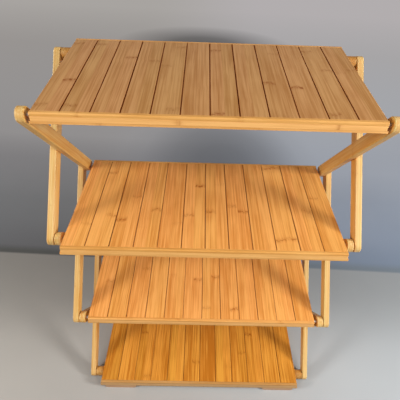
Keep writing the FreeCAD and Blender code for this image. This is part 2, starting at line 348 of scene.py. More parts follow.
# Share of painted shade in the least and the most darkened grooves, and how steep their sides are
groove_shade_shares = {
    "bottom": (0.15, 0.50), "lower": (0.20, 0.55), "upper": (0.30, 0.65), "top": (0.85, 1.00),
}
groove_steepness = 0.15
tongue_low = 0.0050
tongue_high = 0.0078
tongue_play = 0.00003
tongue_end_play = 0.001
tongue_ease = 0.0001
tongue_tone = 0.5
plank_figure = 1.0
# Each shelf's pale and brown; the top shelf's darker, browner colours and the bottom's darker ones
# also paint shade
plank_colours = {
    "bottom": ((0.730, 0.318, 0.045, 1), (0.460, 0.155, 0.012, 1)),
    "lower": ((0.880, 0.425, 0.115, 1), (0.640, 0.245, 0.045, 1)),
    "upper": ((0.900, 0.430, 0.115, 1), (0.660, 0.250, 0.045, 1)),
    "top": ((0.650, 0.328, 0.118, 1), (0.470, 0.200, 0.052, 1)),
}

# Knuckles that the photograph shows: strip from the left, place from the front edge,
# and how dark they are
seen_knuckles = {
    "top": {
        0: (0.030, 0.5), 1: (0.123, 1.0), 2: (0.297, 0.5), 5: (0.232, 0.8), 7: (0.219, 0.4),
        9: (0.293, 0.5), 12: (0.014, 0.6), 16: (0.131, 0.7), 18: (0.118, 0.9), 20: (0.022, 0.5),
    },
    "upper": {
        2: (0.271, 0.6), 3: (0.104, 0.5), 4: (0.091, 0.8), 7: (0.128, 0.6), 10: (0.110, 0.4),
        11: (0.221, 0.9), 12: (0.123, 0.6), 14: (0.146, 0.4), 15: (0.126, 0.7),
        18: (0.037, 0.6), 19: (0.310, 0.6), 21: (0.135, 0.4),
    },
    "lower": {
        1: (0.123, 0.3), 5: (0.168, 0.3), 11: (0.133, 0.6), 13: (0.145, 0.6), 12: (0.041, 0.4),
        15: (0.037, 0.7),
    },
    "bottom": {4: (0.172, 0.5), 5: (0.022, 0.4), 11: (0.068, 0.4), 18: (0.171, 0.8)},
}
# Strips that are clearly darker or paler than their neighbours there
strip_tones = {
    "bottom": {
        0: 0.25, 6: 0.45, 8: 0.35, 10: 0.95, 11: -0.55, 12: 0.80, 13: 0.75, 18: 0.5, 20: -0.3,
    },
    "lower": {0: 0.2, 1: 0.1, 9: -0.35, 10: -0.1, 14: 0.35, 15: 0.2},
    "upper": {5: 0.3, 6: 0.1, 13: -0.15, 20: 0.2},
    "top": {0: 0.1, 11: -0.15, 21: 0.15},
}
# How far a shelf's planks stray from the common tone, and its own share of brown, which on
# the top and the bottom shelf also paints shade
tone_spread = {"bottom": 0.50, "lower": 0.34, "upper": 0.34, "top": 0.34}
shelf_tone = {"bottom": 0.10, "lower": 0.0, "upper": 0.0, "top": 0.05}
# How often the two strips of a plank come from one cane, and how much the second then
# keeps of its own tone
one_cane = 0.5
own_share = 0.7
# Distance of the knuckles on a cane. Those that the photograph doesn't show are faint:
# a draw above the first value counts, and the second scales it
knuckle_pitch = 0.27
faint_from = 0.45
faint_share = 0.75

# The figure of bamboo: seed shifts, the knuckle's wander and bulge, its line, halo and
# pale band, then the fibres from wide to fine, as stretch, fineness and detail
seed_shift = 61.7
tint_shift = 7.3
knuckle_wander = 0.024
knuckle_bulge = (0.010, 0.0012)
knuckle_line = 0.0036
knuckle_halo = (0.0080, 0.40)
knuckle_band = (0.004, 0.009, 0.28)
fibre_kinds = ((5.0, 75.0, 1.0), (6.0, 260.0, 2.0), (14.0, 950.0, 2.0))
fibre_weights = (1.35, 2.40, 1.30)
cloud_scale = 16.0
cloud_weight = 0.60
brown_share = 0.40
yellow_tint = (0.98, 1.01, 0.96, 1)
rose_tint = (1.02, 0.985, 1.02, 1)
scar_tint = (0.62, 0.40, 0.18, 1)

# Satin lacquer, thinner on rubbed edges, dull in the grooves' painted shade and on the darkened
# joints. A glue joint is a thin line
bare_roughness = 0.40
coat_weight = 0.07
coat_roughness = 0.22
gloss_level = 0.18
rubbed_scale = 45.0
rubbed_paler = 0.14
rubbed_rougher = 0.12
groove_shade_and_stain_rougher = 0.35
relief_strength = 0.35
relief_height = 0.0002
joint_width = 0.0003
chance = random.Random(12)


def only(piece):
    """Leaves one object selected and active."""
    bpy.ops.object.select_all(action="DESELECT")
    piece.select_set(True)
    bpy.context.view_layer.objects.active = piece


def block(name, low, high):
    """A cuboid between two corners, with its place in its mesh."""
    low, high = Vector(low), Vector(high)
    bpy.ops.object.select_all(action="DESELECT")
    bpy.ops.mesh.primitive_cube_add(size=1, location=(low + high) / 2)
    made = bpy.context.object
    made.name = name
    made.scale = high - low
    bpy.ops.object.transform_apply(location=True, rotation=True, scale=True)
    return made


def near(value, place):
    """Whether two places are one."""
    return abs(value - place) < same_place


def ease(piece, wanted, width, steps):
    """Rounds the edges whose two ends are both wanted."""
    only(piece)
    bpy.ops.object.mode_set(mode="EDIT")
    bpy.ops.mesh.select_mode(type="EDGE")
    bpy.ops.mesh.select_all(action="DESELECT")
    mesh = bmesh.from_edit_mesh(piece.data)
    for edge in mesh.edges:
        if wanted(edge.verts[0].co) and wanted(edge.verts[1].co):
            edge.select_set(True)
    bmesh.update_edit_mesh(piece.data)
    bpy.ops.mesh.bevel(offset=width, segments=steps, affect="EDGES")
    bpy.ops.object.mode_set(mode="OBJECT")


def split(piece, place, across):
    """Cuts edges into a piece along a plane, as a glue joint shows."""
    only(piece)
    bpy.ops.object.mode_set(mode="EDIT")
    bpy.ops.mesh.select_all(action="SELECT")
    bpy.ops.mesh.bisect(plane_co=place, plane_no=across)
    bpy.ops.object.mode_set(mode="OBJECT")


def same_again(piece, name):
    """A copy with its own mesh."""
    other = piece.copy()
    other.data = piece.data.copy()
    other.name = name
    bpy.context.scene.collection.objects.link(other)
    return other


def strip(tone=0.0, knuckle=None, knot=None):
    """What sets one strip of bamboo apart: seed, tone, place and strength of its knuckles."""
    seed = chance.random()
    stray = chance.uniform(-1, 1)
    some_place = chance.uniform(0, knuckle_pitch)
    faint = faint_share * max(0.0, chance.random() - faint_from)
    return {
        "seed": seed,
        "tone": tone,
        "stray": stray,
        "knuckle": some_place if knuckle is None else knuckle,
        "knot": faint if knot is None else knot,
    }


def grade(piece, middle, along, across, strips, strip_at=lambda offset: 0):
    """Writes what the bamboo reads: each point's place along, across and through the grain,
    each face's strip, and which faces are eased edges."""
    middle, along, across = Vector(middle), Vector(along), Vector(across)
    axes = (along, across, along.cross(across))
    mesh = piece.data
    mesh.attributes.new("grain", "FLOAT_VECTOR", "POINT")
    mesh.attributes.new("strip", "FLOAT_VECTOR", "FACE")
    for name in ("knot", "eased"):
        mesh.attributes.new(name, "FLOAT", "FACE")
    grain, own, knot, eased = (mesh.attributes[n] for n in ("grain", "strip", "knot", "eased"))
    for point, value in zip(mesh.vertices, grain.data):
        value.vector = [(point.co - middle).dot(axis) for axis in axes]
    for face in mesh.polygons:
        offset = Vector([(face.center - middle).dot(axis) for axis in axes])
        chosen = strips[strip_at(offset)]
        own.data[face.index].vector = (chosen["seed"], chosen["tone"], chosen["knuckle"])
        knot.data[face.index].value = chosen["knot"]
        leaning = abs(face.normal.dot(axes[2]))
        is_eased = eased_leaning[0] < leaning < eased_leaning[1]
        eased.data[face.index].value = 1.0 if is_eased else 0.0


def joined(name, parts):
    """Several boards as one piece."""
    bpy.ops.object.select_all(action="DESELECT")
    for part in parts:
        part.select_set(True)
    bpy.context.view_layer.objects.active = parts[0]
    bpy.ops.object.join()
    made = bpy.context.object
    made.name = name
    made.data.name = name
    return made


def outward(piece):
    """Merges doubles and turns all faces outwards."""
    only(piece)
    bpy.ops.object.mode_set(mode="EDIT")
    bpy.ops.mesh.select_all(action="SELECT")
    bpy.ops.mesh.remove_doubles(threshold=merge_reach)
    bpy.ops.mesh.normals_make_consistent(inside=False)
    bpy.ops.object.mode_set(mode="OBJECT")


def surfaced(piece, finish):
    """Gives a made piece its one material."""
    piece.data.materials.clear()
    piece.data.materials.append(finish)


def onto_tier(piece, tier):
    """Brings a shelf piece, made with its hinge at the origin, to where it lies on its tier."""
    side = hinge_side[tier]
    height = first_pivot + tier_height * tiers.index(tier)
    flip = Matrix.Diagonal((1, -side, 1, 1))
    lift = Matrix.Rotation(shelf_tilt, 4, "X")
    piece.data.transform(Matrix.Translation((0, side * hinge_reach, height)) @ flip @ lift)
    outward(piece)


def bamboo_strip_group():
    """Colour, roughness and relief of bamboo, from the place in the grain."""
    tree = bpy.data.node_groups.new("bamboo_strip", "ShaderNodeTree")
    coming = (
        ("Grain", "Vector"), ("Seed", "Float"), ("Tone", "Float"), ("Knuckle", "Float"),
        ("Knot", "Float"), ("Figure", "Float"), ("Pale", "Color"), ("Brown", "Color"),
    )
    for name, kind in coming:
        tree.interface.new_socket(name, in_out="INPUT", socket_type="NodeSocket" + kind)
    for name, kind in (("Color", "Color"), ("Roughness", "Float"), ("Relief", "Float")):
        tree.interface.new_socket(name, in_out="OUTPUT", socket_type="NodeSocket" + kind)
    coming = tree.nodes.new("NodeGroupInput").outputs[:8]
    grain, seed, tone, knuckle, knot, figure, pale, brown = coming
    along, across, through = put(tree, "ShaderNodeSeparateXYZ", grain).node.outputs[:3]
    shift = sums(tree, "MULTIPLY", seed, seed_shift)

    # Distance from the nearest knuckle, along a line that wanders across the strip
    sideways = put(tree, "ShaderNodeCombineXYZ", across, through, shift)
    noise = mottle(tree, sideways, 90.0, 3.0, 0.6)
    wander = sums(tree, "MULTIPLY_ADD", noise, knuckle_wander, -knuckle_wander / 2)
    off = sums(tree, "SUBTRACT", sums(tree, "ADD", along, wander), knuckle)
    off = sums(tree, "WRAP", off, knuckle_pitch / 2, -knuckle_pitch / 2)

    def hump(width, centre=0.0):
        """1 at a distance from the knuckle, falling off softly on both sides."""
        ratio = sums(tree, "DIVIDE", sums(tree, "SUBTRACT", off, centre), width)
        squared = sums(tree, "POWER", ratio, 2.0)
        return sums(tree, "EXPONENT", sums(tree, "MULTIPLY", squared, -1.0))

    def fibres(stretch, fineness, detail):
        """Lines along the strip, pushed apart at a knuckle."""
        width, push = knuckle_bulge
        bulge = sums(tree, "MULTIPLY", hump(width), push)
        spread = sums(tree, "ADD", across, bulge)
        place = put(
            tree, "ShaderNodeCombineXYZ",
            sums(tree, "MULTIPLY_ADD", along, stretch, shift),
            sums(tree, "MULTIPLY", spread, fineness),
            sums(tree, "MULTIPLY", through, fineness),
        )
        return sums(tree, "SUBTRACT", mottle(tree, place, 1.0, detail, 0.55), 0.5)

    lines = [fibres(*kind) for kind in fibre_kinds]
    middling, fine = lines[1:]
    cloud_at = sums(tree, "ADD", along, shift)
    cloud_at = put(tree, "ShaderNodeCombineXYZ", cloud_at, across, through)
    cloud = sums(tree, "SUBTRACT", mottle(tree, cloud_at, cloud_scale), 0.5)
    streaks = sums(tree, "MULTIPLY", cloud, cloud_weight)
    for line, weight in zip(lines, fibre_weights):
        streaks = sums(tree, "MULTIPLY_ADD", line, weight, streaks)
    share = sums(tree, "MULTIPLY_ADD", streaks, figure, brown_share)
    share = ramped(tree, sums(tree, "MULTIPLY_ADD", tone, 0.5, share), 0.0, 1.0)
    wood = mixed(tree, share, pale, brown)
    ruddy = sums(tree, "FRACT", sums(tree, "MULTIPLY", seed, tint_shift))
    wood = mixed(tree, 1.0, wood, mixed(tree, ruddy, yellow_tint, rose_tint), "MULTIPLY")

    # The knuckle: a broken dark line in a soft brown halo, with a paler band beyond it
    speck_place = put(tree, "ShaderNodeCombineXYZ", along, across, shift)
    specks = ramped(tree, mottle(tree, speck_place, 210.0, 3.0), 0.45, 0.58, 0.0, 1.0)
    line = sums(tree, "MULTIPLY", hump(knuckle_line), specks)
    halo = sums(tree, "MULTIPLY", hump(knuckle_halo[0]), knuckle_halo[1])
    dark = sums(tree, "MULTIPLY", sums(tree, "ADD", line, halo), knot)
    dark = ramped(tree, dark, 0.0, 1.1)
    scar = mixed(tree, 1.0, brown, scar_tint, "MULTIPLY")
    marked = mixed(tree, dark, wood, scar)
    width, beyond, paler = knuckle_band
    band = sums(tree, "MULTIPLY", sums(tree, "MULTIPLY", hump(width, beyond), knot), paler)
    colour = mixed(tree, band, marked, pale)

    rough = sums(tree, "MULTIPLY_ADD", middling, 0.16, bare_roughness)
    rough = sums(tree, "MULTIPLY_ADD", dark, 0.15, rough)
    relief = sums(tree, "MULTIPLY_ADD", fine, 0.6, sums(tree, "MULTIPLY", middling, 0.8))
    relief = sums(tree, "MULTIPLY_ADD", dark, -0.5, relief)
    put(tree, "NodeGroupOutput", colour, rough, relief)
    return tree


def rubbed_edge_group():
    """How far the lacquer is rubbed thin on an eased edge, in patches."""
    tree = bpy.data.node_groups.new("rubbed_edge", "ShaderNodeTree")
    for name, kind in (("Grain", "Vector"), ("Edge", "Float"), ("Patch scale", "Float")):
        tree.interface.new_socket(name, in_out="INPUT", socket_type="NodeSocket" + kind)
    tree.interface.new_socket("Rubbed", in_out="OUTPUT", socket_type="NodeSocketFloat")
    grain, edge, scale = tree.nodes.new("NodeGroupInput").outputs[:3]
    patches = ramped(tree, mottle(tree, grain, scale, 3.0), 0.40, 0.62, 0.15, 1.0)
    put(tree, "NodeGroupOutput", sums(tree, "MULTIPLY", patches, edge))
    return tree


def glue_line_group():
    """A thin line wherever a place across the strips comes to a multiple of their width."""
    tree = bpy.data.node_groups.new("glue_line", "ShaderNodeTree")
    for name in ("Place", "Pitch", "Width"):
        tree.interface.new_socket(name, in_out="INPUT", socket_type="NodeSocketFloat")
    tree.interface.new_socket("Line", in_out="OUTPUT", socket_type="NodeSocketFloat")
    place, pitch, width = tree.nodes.new("NodeGroupInput").outputs[:3]
    half = sums(tree, "MULTIPLY", pitch, 0.5)
    off = sums(tree, "WRAP", place, half, sums(tree, "MULTIPLY", half, -1.0))
    put(tree, "NodeGroupOutput", sums(tree, "LESS_THAN", sums(tree, "ABSOLUTE", off), width))
    return tree


bamboo_strip = bamboo_strip_group()
rubbed_edge = rubbed_edge_group()
glue_line = glue_line_group()


def placed_group(tree, group, **inputs):
    """Places a group in a material and gives back its outputs."""
    made = tree.nodes.new("ShaderNodeGroup")
    made.node_tree = group
    for name, value in inputs.items():
        socket = made.inputs[name.replace("_", " ")]
        if isinstance(value, bpy.types.NodeSocket):
            tree.links.new(value, socket)
        else:
            socket.default_value = value
    return made.outputs


def raise_surface(tree, shader, height, strength, distance):
    """Fine relief on a material."""
    relief = {"Strength": strength, "Distance": distance, "Height": height}
    tree.links.new(put(tree, "ShaderNodeBump", named=relief), shader.inputs["Normal"])


def written(tree, name, kind="Fac"):
    """What was written on the piece under a name."""
    return put(tree, "ShaderNodeAttribute", attribute_name=name).node.outputs[kind]


def bamboo(name, pale, brown, figure, joint_axis=None, joint_pitch=0.05, joint_shift=0.0,
           joint_dark=0.35):
    """Lacquered bamboo for the pieces that were graded, with glue lines across one axis."""
    made, tree, shader = new_material(name)
    grain, own = (written(tree, name, "Vector") for name in ("grain", "strip"))
    knot, eased, groove_shade_and_stain = (written(tree, name) for name in ("knot", "eased", "groove_shade_and_stain"))
    seed, tone, knuckle = put(tree, "ShaderNodeSeparateXYZ", own).node.outputs[:3]
    wood = placed_group(
        tree, bamboo_strip, Grain=grain, Seed=seed, Tone=tone, Knuckle=knuckle, Knot=knot,
        Figure=figure, Pale=pale, Brown=brown,
    )
    colour = wood["Color"]
    if joint_axis is not None:
        place = put(tree, "ShaderNodeSeparateXYZ", grain).node.outputs[joint_axis]
        place = sums(tree, "ADD", place, joint_shift)
        line = placed_group(
            tree, glue_line, Place=place, Pitch=joint_pitch, Width=joint_width)["Line"]
        colour = mixed(tree, sums(tree, "MULTIPLY", line, joint_dark), colour, brown)
    rubbed = placed_group(
        tree, rubbed_edge, Grain=grain, Edge=eased, Patch_scale=rubbed_scale)["Rubbed"]
    colour = mixed(tree, sums(tree, "MULTIPLY", rubbed, rubbed_paler), colour, pale)
    # Painted shade in the grooves, stain and painted shade on the rails' glue joints
    colour = mixed(tree, groove_shade_and_stain, colour, groove_shade_and_stain_brown)
    tree.links.new(colour, shader.inputs["Base Color"])
    rough = sums(tree, "MULTIPLY_ADD", rubbed, rubbed_rougher, wood["Roughness"])
    rough = sums(tree, "MULTIPLY_ADD", groove_shade_and_stain, groove_shade_and_stain_rougher, rough)
    tree.links.new(rough, shader.inputs["Roughness"])
    coat = sums(tree, "MULTIPLY_ADD", groove_shade_and_stain, -coat_weight, coat_weight)
    tree.links.new(coat, shader.inputs["Coat Weight"])
    shader.inputs["Coat Roughness"].default_value = coat_roughness
    shader.inputs["Specular IOR Level"].default_value = gloss_level
    raise_surface(tree, shader, wood["Relief"], relief_strength, relief_height)
    return made


def plank_board(name, at_left, at_right):
    """One plank about the origin on X; its outer edge is rounder at a shelf's end."""
    half = plank_pitch / 2
    left = -half if at_left else -half + plank_gap / 2
    right = half if at_right else half - plank_gap / 2
    board = block(name, (left, plank_near, plank_seat), (right, plank_far, shelf_top))
    for side, outermost in ((left, at_left), (right, at_right)):
        width = outer_round if outermost else plank_bevel
        ease(board, lambda co: near(co.x, side) and near(co.z, shelf_top), width, 3)
    for end in (plank_near, plank_far):
        ease(board, lambda co: near(co.y, end), plank_end_ease, 1)
    split(board, (0, 0, 0), (1, 0, 0))
    return board


def darken_grooves(board, tier, open_sides):
    """Marks the sides and bevels that face a groove for painted shade, with a share of its own for
    each.
    """
    board.data.attributes.new("groove_shade_and_stain", "FLOAT", "FACE")
    marks = board.data.attributes["groove_shade_and_stain"]
    shares = {side: chance.uniform(*groove_shade_shares[tier]) for side in (-1, 1)}
    for face in board.data.polygons:
        side = 1 if face.normal.x > 0 else -1
        if side in open_sides and abs(face.normal.x) > groove_steepness:
            marks.data[face.index].value = shares[side]


def tongue(name, place):
    """The tongue that closes one groove."""
    half = plank_gap / 2 - tongue_play
    low = (place - half, plank_near + tongue_end_play, tongue_low)
    high = (place + half, plank_far - tongue_end_play, tongue_high)
    made = block(name, low, high)
    ease(made, lambda co: near(co.z, tongue_high), tongue_ease, 1)
    return made


left_plank = plank_board("left_plank", True, False)
inner_plank = plank_board("inner_plank", False, False)
right_plank = plank_board("right_plank", False, True)

last_plank = plank_count - 1
plank_middle = (0, 0, (plank_seat + shelf_top) / 2)


def half_at(offset):
    """Which of a plank's two strips a face belongs to."""
    return int(offset.y < 0)


for tier in tiers:
    boards = []
    for index in range(plank_count):
        kind = {0: left_plank, last_plank: right_plank}.get(index, inner_plank)
        board = same_again(kind, "plank")
        halves = []
        for half in (0, 1):
            number = 2 * index + half
            seen_at = seen_knuckles[tier].get(number)
            tone = strip_tones[tier].get(number, 0.0) + shelf_tone[tier]
            if seen_at is None:
                one = strip(tone)
            else:
                from_front, knot = seen_at
                hinged_behind = hinge_side[tier] > 0
                from_edge = shelf_depth - from_front if hinged_behind else from_front
                one = strip(tone, from_edge - hinge_inset, knot)
            one["tone"] += one["stray"] * tone_spread[tier]
            halves.append(one)
        if one_cane < chance.random():
            first, second = (half["tone"] for half in halves)
            halves[1]["tone"] = own_share * second + (1 - own_share) * first
        grade(board, plank_middle, (0, 1, 0), (-1, 0, 0), halves, half_at)
        ends = ((-1, 0), (1, last_plank))
        darken_grooves(board, tier, [side for side, last in ends if index != last])
        play = 0.0
        if index not in (0, last_plank):
            play = chance.uniform(-groove_play, groove_play)
        middle = -shelf_width / 2 + (index + 0.5) * plank_pitch
        board.data.transform(Matrix.Translation((middle + play, 0, 0)))
        boards.append(board)
        if index < last_plank:
            groove = tongue("tongue", middle + plank_pitch / 2)
            grade(groove, plank_middle, (0, 1, 0), (-1, 0, 0), [strip(tongue_tone)])
            darken_grooves(groove, tier, (-1, 1))
            # The tongue at a groove's bottom takes the groove's darkest painted shade
            for mark in groove.data.attributes["groove_shade_and_stain"].data:
                mark.value = groove_shade_shares[tier][1]
            boards.append(groove)
    planks = joined("planks_" + tier, boards)
    onto_tier(planks, tier)
    name = "plank_bamboo_" + tier
    surfaced(planks, bamboo(name, *plank_colours[tier], plank_figure, joint_axis=1))
    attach(planks, tier + "_shelf")
    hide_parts(tier + "_shelf_planks")
for pattern in (left_plank, inner_plank, right_plank):
    bpy.data.objects.remove(pattern)


# -------- Rails
# A rail closes each shelf in front and behind, glued up from three strips: a lip as
# thick as the planks with a rounded edge, the rail under the plank ends, and a sole
# that reaches a little further at both ends. The hinged one is bored for the inserts.

rail_near = -0.012
rail_depth = 0.024
lip_depth = 0.007
rail_round = 0.003
sole_top = -0.006
sole_bottom = -0.011
sole_reach = 0.3035
sole_setback = 0.0007
joint_ease = 0.0004
# Height and darkness of the two glue joints, and how far their small bevels lean
joint_stains = ((plank_seat, 0.12), (sole_top, 0.45))
joint_leaning = (0.2, 0.95)
bore_radius = 0.00352
bore_depth = 0.015
bore_overrun = 0.001
shelf_middle = 0.153

body_round = 0.0015
lip_end_round = 0.0015
sole_round = 0.0008
rail_figure = 0.5
rail_stray = 0.15
rail_tone = {"bottom": 0.15, "lower": 0.05, "upper": 0.10, "top": -0.25}
strip_tone = {"lip": 0.62, "body": -0.38, "sole": 0.25}
rail_pale = (0.900, 0.490, 0.160, 1)
rail_brown = (0.620, 0.270, 0.058, 1)
# The bottom shelf's rails get a darker, greyer copy of the rail finish, painted as shade
shaded_bottom_rail_pale = (0.640, 0.385, 0.160, 1)
shaded_bottom_rail_brown = (0.460, 0.220, 0.058, 1)


def bore(piece, start, end, radius):
    """Drills a round hole from one place to another along X."""
    bpy.ops.object.select_all(action="DESELECT")
    middle = (Vector(start) + Vector(end)) / 2
    length = (Vector(end) - Vector(start)).length
    turned = (0, math.radians(90), 0)
    bpy.ops.mesh.primitive_cylinder_add(
        vertices=32, radius=radius, depth=length, location=middle, rotation=turned)
    drill = bpy.context.object
    only(piece)
    bpy.ops.object.modifier_add(type="BOOLEAN")
    cut = piece.modifiers[-1]
    cut.operation = "DIFFERENCE"
    cut.solver = "EXACT"
    cut.object = drill
    bpy.ops.object.modifier_apply(modifier=cut.name)
    bpy.data.objects.remove(drill)


def stain_joints(piece):
    """Darkens the small bevels along the glue joints of a rail: the joint's own stain and painted
    shade in its notch.
    """
    piece.data.attributes.new("groove_shade_and_stain", "FLOAT", "FACE")
    marks = piece.data.attributes["groove_shade_and_stain"]
    least, most = joint_leaning
    for face in piece.data.polygons:
        for place, stain in joint_stains:
            if abs(face.center.z - place) < joint_ease and least < abs(face.normal.z) < most:
                marks.data[face.index].value = stain


half = shelf_width / 2
rail_back = rail_near + rail_depth

lip = block("lip", (-half, rail_near, plank_seat), (half, rail_near + lip_depth, shelf_top))
lip_back = rail_near + lip_depth
rounded_to = rail_near + rail_round + 10 * same_place
ease(lip, lambda co: near(co.y, lip_back) and near(co.z, shelf_top), joint_ease, 1)
ease(lip, lambda co: near(co.y, rail_near) and near(co.z, plank_seat), joint_ease, 1)
ease(lip, lambda co: near(co.y, rail_near) and near(co.z, shelf_top), rail_round, 4)
for end in (-half, half):
    ease(lip, lambda co: near(co.x, end) and co.y < rounded_to, lip_end_round, 3)

body = block("body", (-half, rail_near, sole_top), (half, rail_back, plank_seat))
for end in (-half, half):
    ease(body, lambda co: near(co.y, rail_near) and near(co.x, end), body_round, 3)
ease(body, lambda co: near(co.z, plank_seat), joint_ease, 1)
ease(body, lambda co: near(co.z, sole_top), joint_ease, 1)

sole_near = rail_near + sole_setback
sole = block(
    "sole", (-sole_reach, sole_near, sole_bottom), (sole_reach, rail_back, sole_top))
for end in (-sole_reach, sole_reach):
    ease(sole, lambda co: near(co.y, sole_near) and near(co.x, end), body_round, 3)
ease(sole, lambda co: near(co.z, sole_bottom), sole_round, 2)
ease(sole, lambda co: near(co.z, sole_top), joint_ease, 1)

rail_bamboo = bamboo("rail_bamboo", rail_pale, rail_brown, rail_figure)
shaded_bottom_rail_bamboo = bamboo(
    "rail_bamboo_bottom_shaded", shaded_bottom_rail_pale, shaded_bottom_rail_brown, rail_figure)

for tier in tiers:
    for kind in ("hinge", "grip"):
        laid = []
        for name, pattern in (("lip", lip), ("body", body), ("sole", sole)):
            piece = same_again(pattern, name)
            if kind == "hinge" and name == "body":
                for end in (-1, 1):
                    inside = (end * (half - bore_depth), 0, 0)
                    outside = (end * (half + bore_overrun), 0, 0)
                    bore(piece, inside, outside, bore_radius)
            own = strip(strip_tone[name] + rail_tone[tier])
            own["tone"] += rail_stray * own["stray"]
            grade(piece, (0, 0, 0), (1, 0, 0), (0, 1, 0), [own])
            stain_joints(piece)
            laid.append(piece)
        rail = joined(kind + "_rail_" + tier, laid)
        if kind == "grip":
            turn = Matrix.Rotation(math.pi, 4, "Z")
            to_middle = Matrix.Translation((0, shelf_middle, 0))
            rail.data.transform(to_middle @ turn @ to_middle.inverted())
        onto_tier(rail, tier)
        surfaced(rail, shaded_bottom_rail_bamboo if tier == "bottom" else rail_bamboo)
        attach(rail, tier + "_shelf")
        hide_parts(tier + "_shelf_" + kind + "_rail")
for pattern in (lip, body, sole):
    bpy.data.objects.remove(pattern)


# -------- Legs
# Flat bars with round ends, glued up from three layers of bamboo with their edges
# rounded over. Each is drilled for its hinge bolts, hook pins and the bolt in its middle.

leg_width = 0.029
leg_thickness = 0.015
middle_layer = 0.0056
leg_rounding = 0.002
leg_end_steps = 12
leg_run = math.hypot(pivot_span, tier_height)
leg_angle = math.atan2(tier_height, pivot_span)
smooth_under = math.radians(14)
inner_leg_middle = 0.3155
outer_leg_middle = 0.3315
bolt_bore = 0.00358
pin_bore = 0.00402
open_bore = 0.0043
thread_bore = 0.00252
thread_bore_depth = 0.011
stages = ("lower", "middle", "upper")

leg_figure = 0.7
leg_pale = (0.730, 0.500, 0.200, 1)
leg_brown = (0.575, 0.262, 0.045, 1)
leg_joint_dark = 0.75
# Tone of the left and the right legs, how far legs and layers stray from it, and how
# much browner the flat sides are than the narrow faces. The paler right legs and the browner
# flat sides are partly the wood's own and partly painted light and shade, more on the right.
leg_tone = {-1: -0.05, 1: -0.40}
leg_stray = 0.15
layer_stray = 0.14
leg_side_brown_and_shade = {-1: 0.50, 1: 1.20}
side_steepness = 0.7


def leg_bar(name, end_bore, middle_bore, middle_depth):
    """A leg along Y about the origin, with its outer face to the right."""
    width, length = leg_width / 2, leg_run / 2 + leg_width / 2
    face = leg_thickness / 2
    bar = block(name, (-face, -length, -width), (face, length, width))
    for end in (-length, length):
        for rim in (-width, width):
            corner = lambda co: near(co.y, end) and near(co.z, rim)
            ease(bar, corner, 0.9999 * width, leg_end_steps)
    outward(bar)
    for side in (-face, face):
        ease(bar, lambda co: near(co.x, side), leg_rounding, 3)
    for side in (-middle_layer / 2, middle_layer / 2):
        split(bar, (side, 0, 0), (1, 0, 0))
    for place in (-leg_run / 2, leg_run / 2):
        bore(bar, (-2 * face, place, 0), (2 * face, place, 0), end_bore)
    bore(bar, (face - middle_depth, 0, 0), (2 * face, 0, 0), middle_bore)
    only(bar)
    bpy.ops.object.shade_smooth_by_angle(angle=smooth_under)
    return bar


def layer_at(offset):
    """Which of a leg's three layers a face belongs to."""
    return 1 + (offset.z > middle_layer / 2) - (offset.z < -middle_layer / 2)


leg_bamboo = bamboo(
    "leg_bamboo", leg_pale, leg_brown, leg_figure, joint_axis=2, joint_pitch=middle_layer,
    joint_shift=middle_layer / 2, joint_dark=leg_joint_dark)
through_depth = 2 * leg_thickness
leg_patterns = {
    ("inner", "end"): leg_bar("inner_end", bolt_bore, thread_bore, thread_bore_depth),
    ("inner", "middle"): leg_bar("inner_middle", open_bore, thread_bore, thread_bore_depth),
    ("outer", "end"): leg_bar("outer_end", pin_bore, bolt_bore, through_depth),
    ("outer", "middle"): leg_bar("outer_middle", bolt_bore, bolt_bore, through_depth),
}

for number, stage in enumerate(stages):
    height = first_pivot + tier_height * (number + 0.5)
    for layer in ("inner", "outer"):
        pattern = leg_patterns[layer, "middle" if stage == "middle" else "end"]
        turn = leg_angle if layer == "outer" else -leg_angle
        out = outer_leg_middle if layer == "outer" else inner_leg_middle
        for side, sign in (("left", -1), ("right", 1)):
            bar = same_again(pattern, f"leg_{stage}_{layer}_{side}")
            tone = chance.uniform(-leg_stray, leg_stray) + leg_tone[sign]
            layers = [strip(tone) for part in range(3)]
            for own in layers:
                own["tone"] += layer_stray * own["stray"]
            grade(bar, (0, 0, 0), (0, 1, 0), (0, 0, 1), layers, layer_at)
            for face, mark in zip(bar.data.polygons, bar.data.attributes["strip"].data):
                # Browner flat sides, partly painted shade
                if abs(face.normal.x) > side_steepness:
                    mark.vector.y += leg_side_brown_and_shade[sign]
            place = Matrix.Translation((sign * out, 0, height)) @ Matrix.Rotation(turn, 4, "X")
            bar.data.transform(place @ Matrix.Diagonal((sign, 1, 1, 1)))
            if sign < 0:
                outward(bar)
            surfaced(bar, leg_bamboo)
            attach(bar, f"{stage}_{layer}_legs")
            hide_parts(f"{stage}_{layer}_{side}_leg")
for pattern in leg_patterns.values():
    bpy.data.objects.remove(pattern)


# -------- Spacers
# Turned bamboo rounds on the hook pins of the lowest and highest shelf, in the place
# of an inner leg. Their inner rim is turned to a soft edge.

spacer_radius = 0.014
spacer_near = 0.301
spacer_far = 0.323
spacer_rounding = 0.0015
# A browner tone than the legs', which also paints the shade that falls on the spacers
spacer_brown = (0.470, 0.210, 0.045, 1)
spacer_tones = (1.0, 1.3)
highest_pivot = first_pivot + 3 * tier_height


